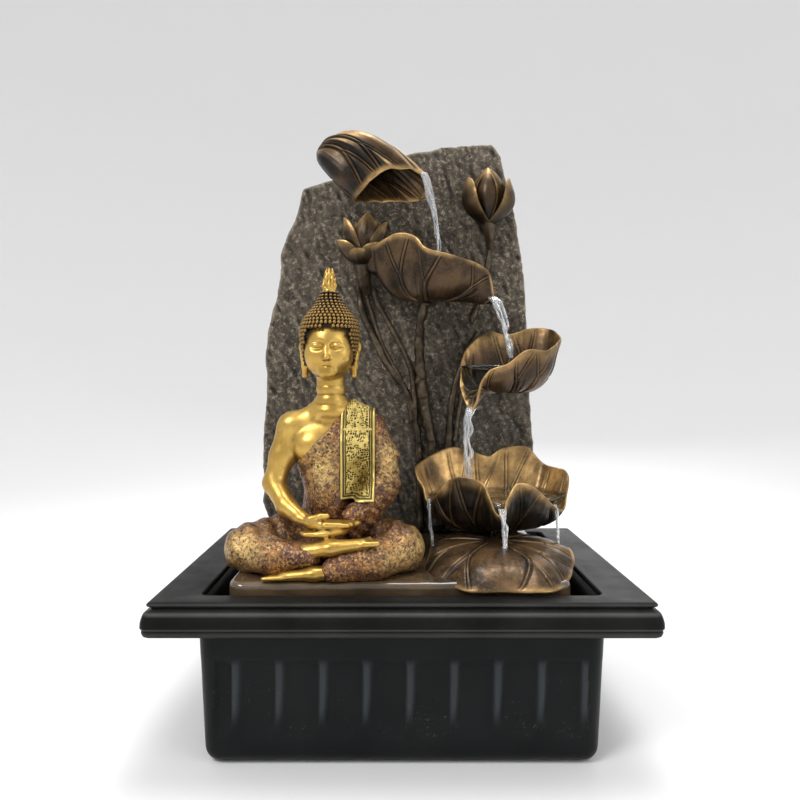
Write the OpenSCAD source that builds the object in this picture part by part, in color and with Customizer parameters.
// Tabletop water fountain: a fluted water tank with a wide moulded rim, a lift-out
// scene of cast resin (slate-like slab, lotus leaves, seated figure) and a small
// submersible pump with a hose that feeds the top leaf.
// Millimetres. Origin: the middle of the footprint, on the surface that the tank
// stands on. +Z up, +X to the right seen from the front, +Y towards the back.

/* [Tank and rim] */
// Width of the rim frame, side to side
rim_w = 304; // [300:1:308]
// Depth of the rim frame, front to back
rim_d = 210; // [206:1:216]
// Height of the rim frame's top face
rim_top = 103; // [102:1:104]
// Width of the rim's opening
opening_w = 241; // [239:1:243]
// Depth of the rim's opening
opening_d = 171; // [170:0.5:172]
// Wall of the tank
tank_wall = 3; // [2.5:0.5:3.5]
// How far the tank draws in from top to bottom, on each side
tank_taper = 3.5; // [2.5:0.5:5]
// Depth of the flutes in the tank wall
flute_depth = 2.2; // [1:0.1:2.5]

/* [Scene] */
// Width of the deck that the scene stands on
deck_w = 212; // [206:1:212]
// Depth of the deck
deck_d = 160; // [156:1:160]
// Height of the deck's top face
deck_top = 109; // [108:0.5:110]
// Thickness of the deck
deck_t = 14; // [10:1:16]
// Distance of the slab's front face behind the middle
slab_y = 57; // [55:1:58]
// Thickness of the slab
slab_t = 20; // [18:1:21]
// Thickness of the lotus leaves
leaf_t = 2.8; // [2.4:0.1:3.2]

/* [Water path] */
// Sideways place of the pump outlet and the hose
hose_x = -10; // [-14:1:-6]
// Distance of the hose and the pump outlet behind the middle
hose_y = 66; // [65:0.5:66]
// Outer diameter of the hose
hose_od = 10; // [9.5:0.5:10]
// Inner diameter of the hose
hose_id = 7; // [6.5:0.5:7]
// Height of the middle of the outlet spout over the deck
spout_up = 279; // [277:1:281]

/* [Pump] */
// Distance of the pump behind the middle
pump_y = 54; // [52:1:54]
// Height of the impeller's axis
pump_z = 25; // [25:1:27]
// Size of the pump body across its axis
pump_size = 36; // [34:1:36]
// Diameter of the ceramic shaft
shaft_d = 2; // [2:0.5:3]
// Play of the moving fits, on the radius
fit_play = 0.05; // [0.02:0.01:0.1]

/* [Hidden] */

inner_hw = opening_w / 2;
inner_hd = opening_d / 2;
wall_out = 2.8;                // outer face of the tank wall, out from the rim's opening
wall_hw = inner_hw + wall_out;
wall_hd = inner_hd + wall_out;
flange_t = 4;                  // thickness of the rim frame's top face
wall_top = rim_top - flange_t;
band_h = 20;                   // height of the rim frame's band
drawn_deck = 106;              // deck height that the scene's own heights are drawn for
scene_rise = deck_top - drawn_deck;
spout_z = drawn_deck + spout_up;
slab_back = slab_y + slab_t;
channel_y = hose_y - 7;        // front of the hose channel
channel_w = 14;                // hose channel in the slab and the deck
nozzle_top = 62;
hose_start = 50;
elbow_r = 12;
hose_end = spout_z - elbow_r;
volute_x0 = hose_x - 7;        // left face of the volute
volute_t = 14;
motor_x0 = volute_x0 + volute_t;
motor_len = 36;
cover_t = 13;
nozzle_r = hose_id / 2 - fit_play;

// ---------- helpers ----------

// Catmull-Rom point between b and c
function spline(a, b, c, d, t) =
    0.5 * (2 * b + (c - a) * t + (2 * a - 5 * b + 4 * c - d) * t * t
           + (3 * b - a - 3 * c + d) * t * t * t);

// Smooth closed curve through the points, per points for each span
function closed_curve(p, per) = let (n = len(p))
    [for (i = [0 : n - 1], k = [0 : per - 1])
        spline(p[(i + n - 1) % n], p[i], p[(i + 1) % n], p[(i + 2) % n], k / per)];

// Smooth open curve through the points
function open_curve(p, per) = let (n = len(p))
    concat([for (i = [0 : n - 2], k = [0 : per - 1])
        spline(p[max(i - 1, 0)], p[i], p[i + 1], p[min(i + 2, n - 1)], k / per)],
        [p[n - 1]]);

function unit(v) = v / norm(v);

// Rounded rectangle as a ring of points, anticlockwise seen from above
function round_ring(hx, hy, r, z, steps = 6) =
    [for (c = [0 : 3], i = [0 : steps])
        let (a = 90 * (c + i / steps),
             sx = (c == 0 || c == 3) ? 1 : -1,
             sy = (c < 2) ? 1 : -1)
        [sx * (hx - r) + r * cos(a), sy * (hy - r) + r * sin(a), z]];

// The same ring in the plane, for a true prism
function round_outline(w, d, r) = [for (p = round_ring(w / 2, d / 2, r, 0)) [p[0], p[1]]];

// One straight side of a fluted ring: from a to b, inward is the flute's direction
function fluted_side(a, b, inward, flutes, depth, q = 4) =
    [for (j = [0 : flutes * q - 1])
        a + (b - a) * j / (flutes * q) + inward * depth * sin(180 * (j % q) / q)];

// A ring of the tank wall with flutes on all four sides
function fluted_ring(hx, hy, r, z, depth) = let (
        corner = round_ring(hx, hy, r, z, 4),
        side = [for (c = [0 : 3]) [for (i = [0 : 4]) corner[c * 5 + i]]])
    concat(side[0], fluted_side(side[0][4], side[1][0], [0, -1, 0], 9, depth),
           side[1], fluted_side(side[1][4], side[2][0], [1, 0, 0], 5, depth),
           side[2], fluted_side(side[2][4], side[3][0], [0, 1, 0], 9, depth),
           side[3], fluted_side(side[3][4], side[0][0], [-1, 0, 0], 5, depth));

// Drops a point that repeats the one before it
function tidy_ring(r) = [for (i = [0 : len(r) - 1])
    if (norm(r[i] - r[(i + len(r) - 1) % len(r)]) > 0.01) r[i]];

function middle(ring) = [for (p = ring) 1] * ring / len(ring);

// Solid through a stack of rings that all have the same number of points
module loft(rings) {
    n = len(rings[0]);
    m = len(rings);
    polyhedron(points = concat([for (r = rings) each r], [middle(rings[0]), middle(rings[m - 1])]),
        faces = concat([for (i = [0 : n - 1]) [m * n, i, (i + 1) % n]],
            [for (k = [0 : m - 2], i = [0 : n - 1]) let (j = (i + 1) % n)
                each [[k * n + i, (k + 1) * n + i, (k + 1) * n + j],
                      [k * n + i, (k + 1) * n + j, k * n + j]]],
            [for (i = [0 : n - 1]) [m * n + 1, (m - 1) * n + (i + 1) % n, (m - 1) * n + i]]));
}

// Closed frame: the rings run once round its section
module loop_loft(rings) {
    n = len(rings[0]);
    m = len(rings);
    polyhedron(points = [for (r = rings) each r],
        faces = [for (k = [0 : m - 1], i = [0 : n - 1])
            let (j = (i + 1) % n, l = (k + 1) % m)
            each [[k * n + i, l * n + i, l * n + j], [k * n + i, l * n + j, k * n + j]]]);
}

// Round bar along a route; side is a direction that the route never takes
module bar(route, radii, side, sides = 10) {
    m = len(route);
    loft([for (k = [0 : m - 1])
        let (t = unit(route[min(k + 1, m - 1)] - route[max(k - 1, 0)]),
             u = unit(cross(t, side)), v = cross(t, u))
        [for (i = [0 : sides - 1]) let (a = 360 * i / sides)
            route[k] + radii[k] * (cos(a) * u + sin(a) * v)]]);
}

// One closed skin over pieces that run into each other
module one_skin() {
    resize([0, 0, 0]) union() children();
}

// The scene keeps its own heights and rises with the deck
module on_deck() {
    translate([0, 0, scene_rise]) children();
}

// Chain of rounded limbs from ball to ball: each joint is [x, y, z, radius]
module limb(joints) {
    for (i = [0 : len(joints) - 2])
        hull() for (j = [joints[i], joints[i + 1]])
            translate([j[0], j[1], j[2]]) sphere(r = j[3], $fn = 16);
}

// A point of a leaf's upper face: s runs from 0 at the heart to 1 at the edge
function leaf_point(heart, edge, axis, s, spread, rise, bulge, lean) =
    let (d = edge - heart, h = d * axis, lat = d - h * axis)
    heart + lat * pow(s, spread) * (1 + bulge * (1 - s)) + axis * h * pow(s, rise)
        + lean * 4 * s * (1 - s);

// Cupped leaf of even thickness. The axis points out of the cup, and the edge
// runs anticlockwise seen from the end of the axis.
module leaf(heart, edge_points, axis, spread = 0.6, rise = 2, bulge = 0, lean = [0, 0, 0],
            thick = leaf_t, per = 3, steps = 5) {
    edge = closed_curve(edge_points, per);
    ax = unit(axis);
    n = len(edge);
    function face(i, j) = leaf_point(heart, edge[(j + n) % n], ax, i / steps,
                                     spread, rise, bulge, lean);
    function up(i, j) = unit(cross(face(min(i + 0.5, steps), j) - face(i - 0.5, j),
                                   face(i, j + 1) - face(i, j - 1)));
    top = [for (i = [1 : steps]) [for (j = [0 : n - 1]) face(i, j)]];
    under = [for (i = [1 : steps]) [for (j = [0 : n - 1]) face(i, j) - thick * up(i, j)]];
    second = 1 + n * steps;
    polyhedron(
        points = concat([heart], [for (r = top) each r],
                        [heart - thick * ax], [for (r = under) each r]),
        faces = concat(
            [for (j = [0 : n - 1]) let (k = (j + 1) % n) each
                [[0, 1 + k, 1 + j], [second, second + 1 + j, second + 1 + k]]],
            [for (i = [0 : steps - 2], j = [0 : n - 1])
                let (k = (j + 1) % n, a = 1 + i * n + j, b = 1 + i * n + k,
                     c = b + n, d = a + n) each
                [[a, b, c], [a, c, d],
                 [second + a, second + c, second + b], [second + a, second + d, second + c]]],
            [for (j = [0 : n - 1])
                let (k = (j + 1) % n, a = 1 + (steps - 1) * n + j,
                     b = 1 + (steps - 1) * n + k) each
                [[a, b, second + b], [a, second + b, second + a]]]));
}

// ---------- tank and rim ----------

taper_top = rim_top - band_h;  // the wall is upright above here

// Heights of the wall rings, each with how deep the flutes are there
flute_rows = [[9, 0], [20, 0], [24, 0.75], [30, 1], [53, 1], [61, 0.8], [65, 0], [taper_top, 0]];

function draw_in(z) = tank_taper * (1 - min(z, taper_top) / taper_top);

module tank() {
    foot_r = 9;
    corner = 10;
    function outer(z, in, depth) = tidy_ring(fluted_ring(
        wall_hw - draw_in(z) - in, wall_hd - draw_in(z) - in, corner, z, depth));
    function inner(z, in) = let (t = tank_wall + (z < wall_top ? flute_depth : 0) + in)
        tidy_ring(fluted_ring(wall_hw - draw_in(z) - t, wall_hd - draw_in(z) - t,
                              corner - 2, z, 0));
    color("#222426") loft(concat(
        [for (a = [0, 30, 60]) outer(foot_r * (1 - cos(a)), foot_r * (1 - sin(a)), 0)],
        [for (row = flute_rows) outer(row[0], 0, flute_depth * row[1])],
        [outer(wall_top, 0, 0), inner(wall_top, 0), inner(wall_top - 12, 0),
         inner(tank_wall + 8, 0), inner(tank_wall + 2, 2), inner(tank_wall, 6)]));
}

// Section of the rim frame as [distance in from the outermost edge, height below
// the top face]: down from the top bead, round the band and in under the lip
rim_outer = [[5.2, 0], [4.0, 1.0], [3.8, 2.4], [4.9, 4], [4.2, 5.4], [1.6, 8], [0.2, 10.6],
             [0, 15], [0.9, 16.6], [1.3, 18.2], [3.2, 19.6], [5.6, band_h], [6.8, 19],
             [7.2, 15], [9.5, 6], [12, flange_t]];

module rim_frame() {
    corner = 6.5;
    hole_corner = 5;
    rib_in = wall_out + 0.8;
    rib_out = rib_in + 1.8;
    rib = [[rib_out, flange_t], [rib_out, 12], [rib_in, 12], [rib_in, flange_t], [0, flange_t], [0, 0]];
    color("#1c1d1f") loop_loft(concat(
        [for (i = [len(rim_outer) - 1 : -1 : 0]) let (p = rim_outer[i])
            round_ring(rim_w / 2 - p[0], rim_d / 2 - p[0], corner - min(p[0], 4), rim_top - p[1])],
        [for (i = [len(rib) - 1 : -1 : 0]) let (p = rib[i])
            round_ring(inner_hw + p[0], inner_hd + p[0], hole_corner + p[0], rim_top - p[1])]));
}

// ---------- pump ----------

// Prism along the pump's axis, from x0, with its corners rounded
module pump_block(x0, length, size, r) {
    translate([x0, pump_y, pump_z]) rotate([90, 0, 90])
        linear_extrude(length) polygon(round_outline(size, size, r));
}

// Cylinder along the pump's axis
module axle(x0, length, r) {
    translate([x0, pump_y, pump_z]) rotate([0, 90, 0]) cylinder(h = length, r = r, $fn = 48);
}

rotor_r = 7;
well_r = rotor_r + 0.6;
rotor_x0 = motor_x0 + 1.5;
rotor_len = 22;
hub_r = 2.6;                   // impeller hub, inside the magnet
chamber_r = 14;

module pump_housing() {
    color("#191a1c") difference() {
        pump_block(motor_x0, motor_len, pump_size, 5);
        axle(motor_x0 - 1, rotor_len + 6, well_r);
    }
}

module pump_volute() {
    color("#212326") difference() {
        union() {
            pump_block(volute_x0, volute_t, pump_size, 5);
            translate([hose_x, hose_y, pump_z]) cylinder(h = nozzle_top - pump_z, r = nozzle_r, $fn = 48);
            translate([hose_x, hose_y, pump_z]) cylinder(h = pump_size / 2 + 4, r = 6, $fn = 48);
        }
        axle(volute_x0 + 3, volute_t, chamber_r);
        axle(volute_x0 - 1, 5, 6);
        translate([hose_x, hose_y, pump_z]) cylinder(h = nozzle_top, r = nozzle_r - 1, $fn = 48);
    }
}

module pump_o_ring() {
    color("#111111") translate([motor_x0, pump_y, pump_z]) rotate([0, 90, 0])
        translate([0, 0, -1.2]) difference() {
            cylinder(h = 1.2, r = chamber_r, $fn = 48);
            translate([0, 0, -1]) cylinder(h = 4, r = chamber_r - 1.2, $fn = 48);
        }
}

shaft_x0 = volute_x0 + 3.5;
shaft_len = motor_x0 + rotor_len + 5 - shaft_x0;

module pump_shaft() {
    color("#e8e6df") axle(shaft_x0, shaft_len, shaft_d / 2);
}

module shaft_bushes() {
    // Rear bush in the blind end of the rotor well, front bush on three arms in the intake
    color("#26282a") {
        difference() {
            axle(motor_x0 + rotor_len + 2, 3, well_r);
            axle(motor_x0 + rotor_len, 6, shaft_d / 2);
        }
        difference() {
            union() {
                axle(volute_x0 + 0.5, 4, 2.4);
                for (a = [90, 210, 330]) translate([volute_x0 + 0.5, pump_y, pump_z])
                    rotate([a, 0, 0]) translate([0, -0.6, 0]) cube([1.6, 1.2, 6]);
            }
            axle(shaft_x0, 6, shaft_d / 2);
        }
    }
}

module pump_suction_cups() {
    foot = pump_z - pump_size / 2;
    neck_r = 3.5;
    cup_r = 6;
    color("#2b2d2c") for (x = [motor_x0 + 6, motor_x0 + motor_len - 6], y = [-8, 8])
        translate([x, pump_y + y, 0]) rotate_extrude($fn = 32)
            polygon([[0, foot], [neck_r, foot], [neck_r, tank_wall + 2.4], [cup_r, tank_wall + 0.8],
                     [cup_r, tank_wall], [cup_r - 1.4, tank_wall], [neck_r - 1.5, tank_wall + 1.6],
                     [0, tank_wall + 1.6]]);
}

module cable_gland() {
    x0 = motor_x0 + motor_len;
    color("#151515") translate([x0, pump_y, pump_z + 8]) rotate([0, 90, 0]) difference() {
        union() {
            cylinder(h = 3, r = 6.5, $fn = 48);
            cylinder(h = 9, r = 4.5, $fn = 48);
        }
        translate([0, 0, 3]) cylinder(h = 8, r = 2.8, $fn = 48);
    }
}

module rotor_magnet() {
    color("#4a4c4f") difference() {
        axle(rotor_x0, rotor_len - 1.5, rotor_r);
        axle(rotor_x0 - 1, rotor_len + 2, hub_r);
    }
}

module impeller() {
    hub_x0 = volute_x0 + 5;
    hub_end = rotor_x0 + rotor_len - 1.5;
    disc_x0 = rotor_x0 - 3.4;
    disc_t = 1.4;
    disc_r = chamber_r - 3;
    blades = 6;
    blade_t = 1.2;
    color("#d8d8d2") difference() {
        union() {
            axle(hub_x0, hub_end - hub_x0, hub_r);
            axle(disc_x0, disc_t, disc_r);
            for (i = [0 : blades - 1]) translate([hub_x0, pump_y, pump_z])
                rotate([360 * i / blades, 0, 0]) translate([0, -blade_t / 2, 0])
                    cube([disc_x0 + 0.4 - hub_x0, blade_t, disc_r - 0.5]);
        }
        axle(hub_x0 - 1, hub_end - hub_x0 + 2, shaft_d / 2 + fit_play);
    }
}

module strainer_cover() {
    wall = 1.6;
    slots = 5;
    slot = [6, 40, 2];
    slot_pitch = 5;
    guide_out = 3.4;
    guide_up = 26;
    guide_foot = pump_z - 14;
    x0 = volute_x0 - cover_t;
    color("#1e2022") difference() {
        union() {
            pump_block(x0, cover_t - 0.2, pump_size, 5);
            // Guides of the flow slider, each with a lip that holds its edge
            for (side = [0, 1]) translate([x0 - guide_out, pump_y, guide_foot]) mirror([0, side, 0]) {
                translate([0, 9, 0]) cube([guide_out + 0.5, wall, guide_up]);
                translate([0, 7.8, 0]) cube([0.8, 1.4, guide_up]);
            }
            translate([x0 - guide_out, pump_y - 9, guide_foot]) cube([guide_out + 0.5, 18, wall]);
        }
        pump_block(x0 + wall, cover_t, pump_size - 2 * wall, 4);
        for (i = [0 : slots - 1])
            translate([x0 + 4, pump_y - slot[1] / 2, pump_z - 12 + i * slot_pitch]) cube(slot);
        translate([x0 - 1, pump_y - 5, pump_z - 8]) cube([4, 10, 12]);
    }
}

module flow_slider() {
    x0 = volute_x0 - cover_t;
    color("#3a3d40") translate([x0 - 2.3, pump_y - 8.7, pump_z - 12.1]) difference() {
        union() {
            cube([2, 17.4, 14]);
            translate([-2, 3.7, 10]) cube([2, 10, 3]);
        }
        translate([-1, 5.7, 1.5]) cube([4, 6, 5]);
    }
}

// ---------- deck and slab ----------

module deck() {
    notch_x = 60;
    notch_w = 9;
    corner = 10;
    color("#26251f") difference() {
        translate([-1, -1, deck_top - deck_t]) linear_extrude(deck_t)
            polygon(round_outline(deck_w, deck_d, corner));
        // Way up for the hose
        translate([hose_x - channel_w / 2, channel_y, deck_top - deck_t - 1])
            cube([channel_w, slab_back - channel_y, deck_t + 2]);
        // Way out for the pump's cable at the back edge
        translate([notch_x, deck_d / 2 - 9, deck_top - deck_t - 1]) cube([notch_w, 12, deck_t + 2]);
    }
}

module deck_legs() {
    leg_r = 7;
    color("#26251f") for (x = [-90, 88], y = [-58, 56])
        translate([x, y, tank_wall]) cylinder(h = deck_top - deck_t - tank_wall, r = leg_r, $fn = 32);
}

// Broken outline of the slab, seen from the front
slab_outline = [[-106, 106], [-114, 130], [-113, 163], [-110, 208], [-112, 248], [-108, 273],
    [-102, 299], [-99, 332], [-92, 351], [-87, 360], [-82, 379], [-79, 386], [-68, 389],
    [-59, 394], [-30, 402], [11, 416], [33, 421], [59, 423], [77, 424], [83, 412], [89, 392],
    [97, 353], [101, 331], [106, 285], [108, 221], [110, 172], [106, 130], [98, 106]];

module slab() {
    channel_foot = drawn_deck - 6;
    channel_top = spout_z + 7;
    color("#3a3732") on_deck() difference() {
        translate([0, slab_back, 0]) rotate([90, 0, 0]) linear_extrude(slab_t) polygon(slab_outline);
        translate([hose_x - channel_w / 2, channel_y, channel_foot])
            cube([channel_w, slab_back - channel_y + 1, channel_top - channel_foot]);
        translate([hose_x, slab_back + 1, spout_z]) rotate([90, 0, 0])
            cylinder(h = slab_t + 2, r = 6, $fn = 48);
    }
}

// Stems in relief on the slab: routes as [x, z], all at the slab's face
stem_routes = [
    [[-34, 306], [-30, 284], [-21, 264], [-13, 247], [0, 228], [8, 214], [14, 190], [16, 160], [17, 112]],
    [[-28, 302], [-22, 280], [-14, 258], [-5, 240], [5, 220], [10, 196]],
    [[-22, 304], [-17, 290], [-5, 268], [3, 253], [9, 238], [12, 214], [14, 188], [15, 166]],
    [[64, 268], [54, 252], [46, 230], [42, 210], [40, 186], [38, 150], [37, 112]],
    [[66, 256], [58, 238], [52, 222], [48, 204], [45, 180]],
    [[75, 352], [73, 338], [72, 326], [66, 300], [58, 276]]];
stem_sizes = [3.6, 2.2, 3.0, 3.4, 2.4, 2.6];

module slab_stems() {
    color("#2f2a24") on_deck() one_skin() for (k = [0 : len(stem_routes) - 1]) {
        route = open_curve([for (p = stem_routes[k]) [p[0], slab_y - 1, p[1]]], 2);
        bar(route, [for (p = route) stem_sizes[k]], [0, 1, 0], 8);
    }
}

// Free stems that carry the leaves from the slab
module leaf_stalks() {
    color("#3d3222") on_deck() one_skin() {
        tall = open_curve([[20, 24, 289], [16, 32, 276], [15, 42, 258], [17, 50, 228],
                           [22, 53, 196], [28, 54, 160], [30, 54, 112]], 2);
        tall_r = 4.2;
        short_r = [7, 6];
        bar(tall, [for (p = tall) tall_r], [0.1, 1, 0], 8);
        for (r = [[[-56, 60, 392], [-56, 26, 402]], [[78, 60, 219], [77, 22, 224]],
                  [[66, 60, 116], [66, 4, 121]]])
            bar(r, short_r, [0, 0, 1], 8);
    }
}

// ---------- lotus leaves ----------

leaf_1_edge = [[15, 2, 380], [2, -4, 381.5], [-12, -6, 380], [-23, -3, 372], [-32, 3, 363],
    [-33, 14, 363], [-20, 26, 366], [-2, 30, 367], [12, 28, 367], [19, 20, 368], [22, 10, 374]];
leaf_2_edge = [[71, 24, 288], [69, 36, 297], [56, 48, 310], [34, 53, 320], [10, 53, 326],
    [-10, 46, 332], [-21, 34, 331], [-19, 22, 331], [-3, 13, 338], [10, 6, 335],
    [19, 1, 325], [33, 1, 321], [46, 5, 318], [57, 10, 315], [67, 17, 308]];
leaf_3_edge = [[121, 25, 263], [117, 40, 269], [104, 46, 270], [86, 46, 265], [70, 45, 267],
    [57, 40, 258], [49, 30, 246], [46, 16, 224], [51, 2, 207], [55, -6, 219], [61, -13, 234],
    [76, -15, 241], [89, -12, 250], [104, -4, 250], [116, 10, 256]];
leaf_4_edge = [[122, 4, 149], [123, 14, 161], [113, 38, 163], [100, 41, 176], [81, 41, 175],
    [70, 40, 169], [56, 40, 173], [40, 38, 176], [20, 22, 169], [12, 6, 163], [17, -8, 152],
    [21, -18, 144], [32, -28, 159], [42, -33, 163], [55, -36, 159], [62, -41, 143],
    [67, -43, 139], [70, -41, 147], [76, -38, 158], [86, -34, 158], [97, -26, 150],
    [109, -14, 139], [117, -4, 137]];
leaf_5_edge = [[114, -36, 113], [111, -52, 108], [101, -74, 103], [90, -86, 102],
    [76, -88, 102], [64, -87, 102], [52, -88, 102], [40, -86, 102], [32, -78, 102],
    [24, -72, 102], [16, -60, 102], [18, -38, 107], [24, -14, 112], [36, 8, 112],
    [66, 14, 112], [95, 8, 111], [108, -10, 112]];

module leaf_1() {
    color("#6e5537") on_deck() leaf([-61, 24, 404], leaf_1_edge, [0.86, -0.17, -0.48],
                                    spread = 0.8, rise = 1.1, bulge = 1.1, lean = [0, 0, 9],
                                    per = 3, steps = 7);
}

module leaf_2() {
    color("#6e5537") on_deck() leaf([20, 28, 292], leaf_2_edge, [0, -0.1, 1], spread = 0.5, rise = 2);
}

module leaf_3() {
    color("#6e5537") on_deck() leaf([76, 18, 222], leaf_3_edge, [0, 0, 1], spread = 0.45, rise = 2.2);
}

module leaf_4() {
    color("#6e5537") on_deck() leaf([66, 0, 124], leaf_4_edge, [0, 0, 1],
                                    spread = 0.5, rise = 2.2, per = 2);
}

module leaf_5() {
    // Underside up: the cup opens downwards, over the deck
    color("#6e5537") on_deck() leaf([64, -26, 117], leaf_5_edge, [0, 0, -1], spread = 0.7, rise = 3);
}

// ---------- flower and bud ----------

// Petal that stands on its base at the origin and leans out along +X
module petal(length, width, thick = 1.8) {
    leaf([length * 0.1, 0, length * 0.45],
         [[0, 0, 0], [1, -width * 0.35, length * 0.25], [2, -width * 0.5, length * 0.55],
          [0, -width * 0.25, length * 0.85], [0, 0, length], [0, width * 0.25, length * 0.85],
          [2, width * 0.5, length * 0.55], [1, width * 0.35, length * 0.25]],
         [-1, 0, 0], spread = 1, rise = 2, thick = thick, per = 2, steps = 2);
}

flower_place = [-29, 40, 316];

module lotus_flower() {
    color("#5f4a30") on_deck() one_skin() translate(flower_place) {
        for (i = [0 : 3]) rotate([0, 0, 45 + 90 * i]) translate([4, 0, 0]) rotate([0, 14, 0])
            petal(38, 20);
        for (i = [0 : 4]) rotate([0, 0, 18 + 72 * i]) translate([5, 0, -1]) rotate([0, 48, 0])
            petal(26, 17);
    }
}

module flower_pod() {
    color("#6a5230") on_deck() one_skin() {
        translate(flower_place) translate([0, 0, -4]) cylinder(h = 16, r1 = 7, r2 = 5, $fn = 24);
        bar([[-26, 59, 300], [-28, 50, 304], [-29, 41, 314]], [3.6, 3.6, 5], [1, 0, 0], 8);
    }
}

module lotus_bud() {
    side = open_curve([[3, 0, 0], [10, 3, 0], [18, 12, 0], [20, 22, 0], [18, 33, 0],
                       [10, 43, 0], [1, 50, 0]], 2);
    color("#5f4a30") on_deck() one_skin() {
        translate([70, 45, 352]) loft([for (p = side)
            [for (i = [0 : 23]) [p[0] * cos(15 * i), p[0] * sin(15 * i), p[1]]]]);
        bar([[70, 45, 356], [72, 50, 346], [73, 57, 338]], [4, 3, 3], [1, 0, 0], 8);
    }
}

// ---------- seated figure ----------

figure_x = -49;

module figure_body() {
    color("#c39a35") on_deck() one_skin() {
        limb([[figure_x, -24, 126, 20], [-46, -30, 158, 18], [-44, -34, 190, 18]]);
        limb([[-70, -34, 200, 10], [-46, -34, 200, 13], [-20, -34, 200, 10]]);
        limb([[-74, -34, 198, 9], [-84, -36, 160, 8], [-66, -58, 140, 6.5], [-50, -64, 133, 5]]);
        limb([[-60, -64, 134, 6], [-34, -64, 134, 6]]);
        limb([[-56, -68, 124, 6], [-16, -66, 126, 5.5]]);
        limb([[-80, -75, 112, 5], [-48, -75, 112, 5.5]]);
    }
}

module figure_robe() {
    color("#5b3d22") on_deck() one_skin() {
        limb([[-66, -22, 122, 16], [-96, -48, 120, 15], [-72, -66, 114, 8], [-50, -70, 112, 7]]);
        limb([[-32, -22, 122, 16], [-2, -48, 120, 15], [-24, -66, 114, 8], [-48, -70, 112, 7]]);
        limb([[-20, -34, 198, 12], [-10, -34, 160, 12], [-24, -54, 142, 9], [-34, -60, 138, 7]]);
        limb([[figure_x, -22, 120, 22], [-42, -32, 160, 19], [-38, -35, 186, 18]]);
    }
}

module figure_sash() {
    color("#8c7a2c") on_deck() translate([-28, -57, 148]) rotate([-6, 0, 0]) linear_extrude(62)
        polygon(round_outline(20, 6, 2));
}

module figure_neck() {
    color("#c39a35") on_deck() translate([-47, -36, 204]) cylinder(h = 32, r1 = 11.5, r2 = 9.5, $fn = 32);
}

// Ellipsoid as a stack of rings
module egg(centre, rx, ry, rz) {
    loft([for (a = [-80 : 20 : 80]) [for (i = [0 : 19]) let (b = 18 * i)
        centre + [rx * cos(a) * cos(b), ry * cos(a) * sin(b), rz * sin(a)]]]);
}

module figure_head() {
    color("#c39a35") on_deck() egg([-48, -39, 250], 16, 18, 21);
}

module figure_hair() {
    color("#4a3a1e") on_deck() one_skin() {
        egg([-48, -35, 257], 18.5, 19, 18);
        egg([-48, -35, 275], 11, 11, 11);
        for (s = [-1, 1]) egg([-48 + s * 17, -36, 243], 2.6, 4, 13);
    }
}

module figure_finial() {
    color("#d8b040") on_deck() translate([-48, -35, 284]) cylinder(h = 20, r1 = 5, r2 = 0.6, $fn = 24);
}

// ---------- hose ----------

module supply_hose() {
    length = hose_end + scene_rise - hose_start;
    color("#cfd4d6") translate([hose_x, hose_y, hose_start]) difference() {
        cylinder(h = length, r = hose_od / 2, $fn = 48);
        translate([0, 0, -1]) cylinder(h = length + 2, r = hose_id / 2, $fn = 48);
    }
}

module outlet_elbow() {
    body_r = 5;
    bore_r = 3.5;
    spout_end = 34;
    color("#2a2c2e") on_deck() difference() {
        union() {
            translate([hose_x, hose_y, hose_end - 6]) cylinder(h = 6.5, r = 6.2, $fn = 48);
            elbow_solid(body_r);
            translate([hose_x, hose_y - elbow_r, spout_z]) rotate([90, 0, 0])
                cylinder(h = hose_y - elbow_r - spout_end, r = body_r, $fn = 48);
        }
        translate([hose_x, hose_y, hose_end - 7]) cylinder(h = 7, r = hose_od / 2, $fn = 48);
        translate([hose_x, hose_y, hose_end - 1]) cylinder(h = 1.01, r = bore_r, $fn = 48);
        elbow_solid(bore_r);
        translate([hose_x, hose_y - elbow_r + 0.01, spout_z]) rotate([90, 0, 0])
            cylinder(h = hose_y - elbow_r - spout_end + 1, r = bore_r, $fn = 48);
    }
}

// Quarter turn from straight up to straight forward
module elbow_solid(r) {
    translate([hose_x, hose_y - elbow_r, hose_end]) rotate([90, 0, 90])
        rotate_extrude(angle = 90, $fn = 48) translate([elbow_r, 0]) circle(r = r, $fn = 32);
}

module hose_clips() {
    strap = [26, 1.6, 8];
    screw_r = 1.3;
    screw_in = 3.5;
    color("#2a2c2e") on_deck() for (z = [160, 240, 320])
        translate([hose_x - strap[0] / 2, slab_back, z]) difference() {
            cube(strap);
            for (x = [screw_in, strap[0] - screw_in]) translate([x, -1, strap[2] / 2])
                rotate([-90, 0, 0]) cylinder(h = 4, r = screw_r, $fn = 24);
        }
}

tank();
rim_frame();
pump_housing();
pump_volute();
pump_o_ring();
pump_shaft();
shaft_bushes();
pump_suction_cups();
cable_gland();
rotor_magnet();
impeller();
strainer_cover();
flow_slider();
deck();
deck_legs();
slab();
slab_stems();
leaf_stalks();
leaf_1();
leaf_2();
leaf_3();
leaf_4();
leaf_5();
lotus_flower();
flower_pod();
lotus_bud();
figure_body();
figure_robe();
figure_sash();
figure_neck();
figure_head();
figure_hair();
figure_finial();
supply_hose();
outlet_elbow();
hose_clips();
